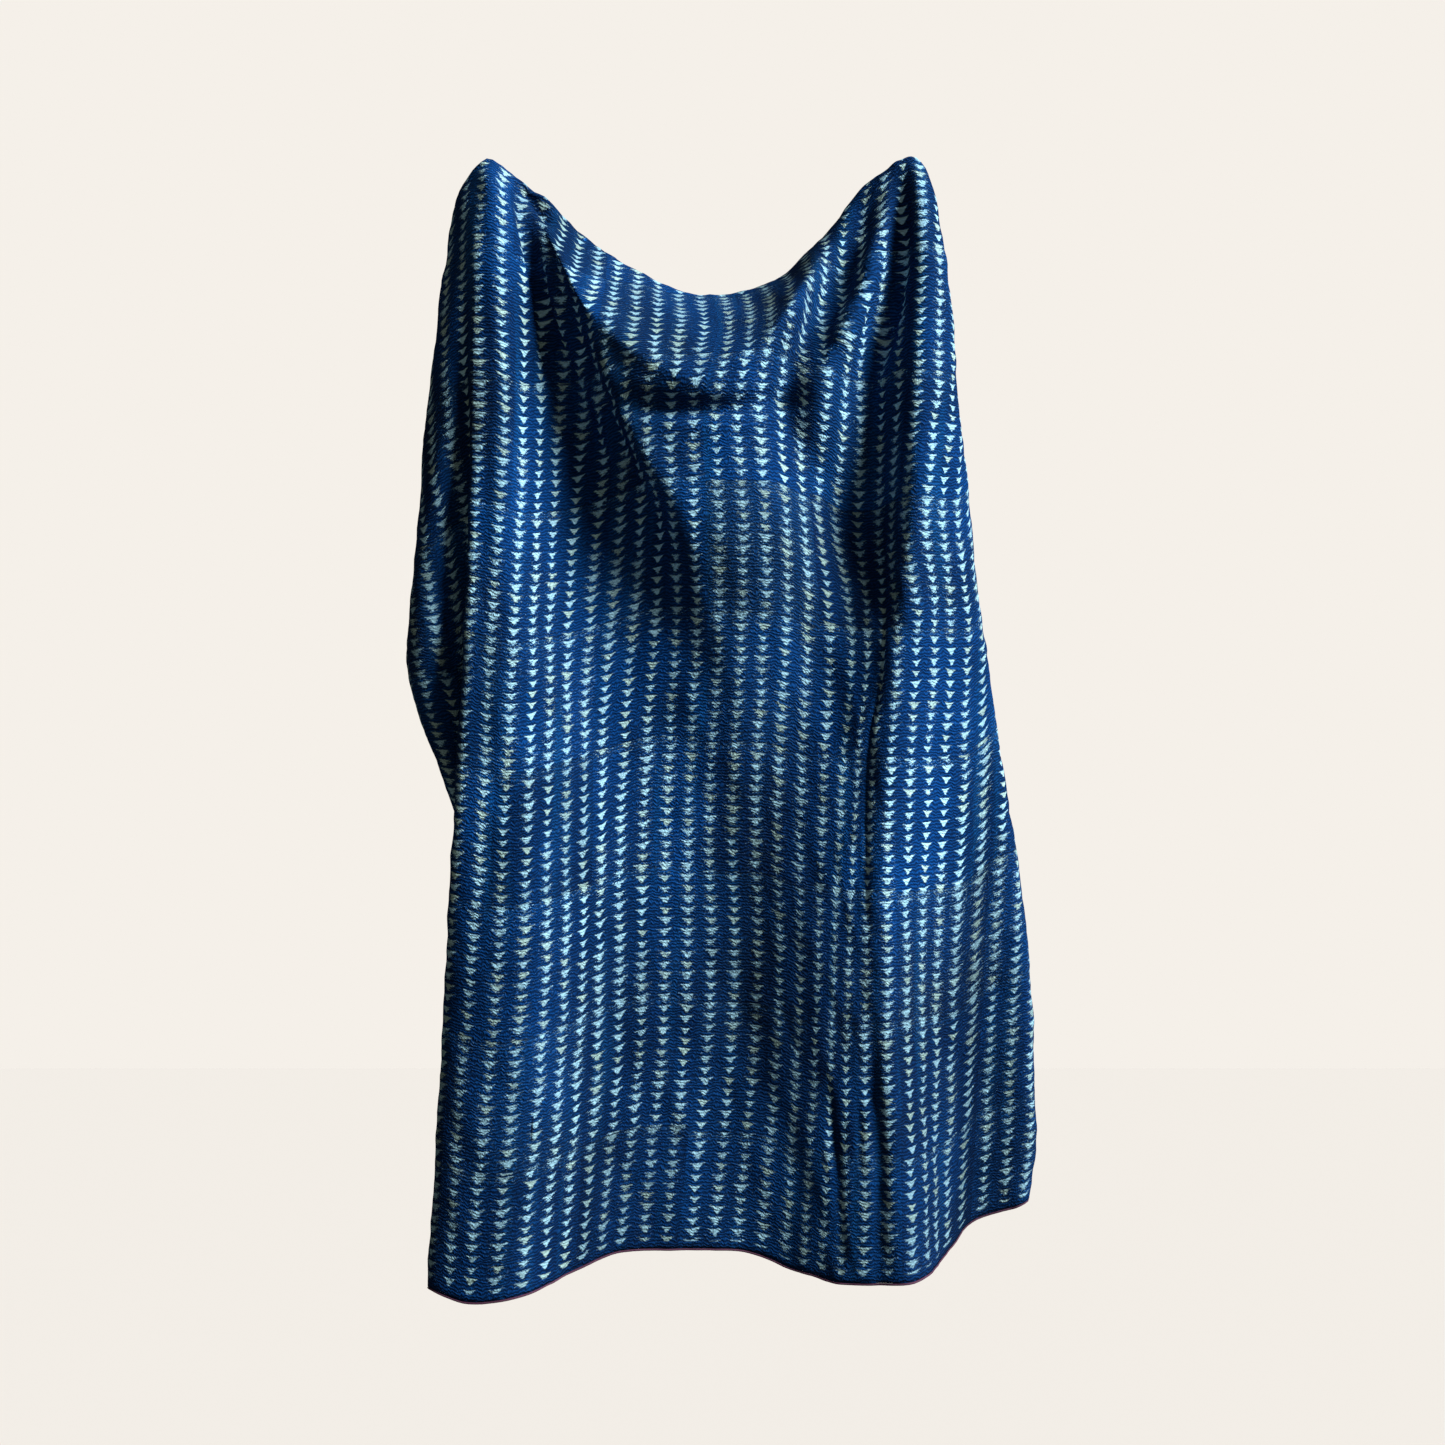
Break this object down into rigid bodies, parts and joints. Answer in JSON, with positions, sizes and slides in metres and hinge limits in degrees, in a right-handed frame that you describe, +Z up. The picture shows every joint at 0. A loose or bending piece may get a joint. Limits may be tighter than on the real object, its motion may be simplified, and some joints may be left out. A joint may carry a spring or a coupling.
{
  "type": "kantha throw",
  "caption": "Quilted cotton throw hung by the ends of its top fold, with a sagging swag, long soft folds, turned-back sides and a shorter flap behind.",
  "frame": {"origin": "left holding point, on the top fold where its left end hangs highest", "axes": "+X to the right towards the other holding point, +Y away from the viewer, +Z up"},
  "size_m": [0.7954, 0.2406, 1.4225],
  "materials": {
    "indigo_cotton": "matte printed and stitched cotton",
    "plum_binding": "matte cotton"
  },
  "bodies": {
    "root": {"throw_cloth": "indigo_cotton", "edge_binding": "plum_binding"}
  },
  "joints": []
}
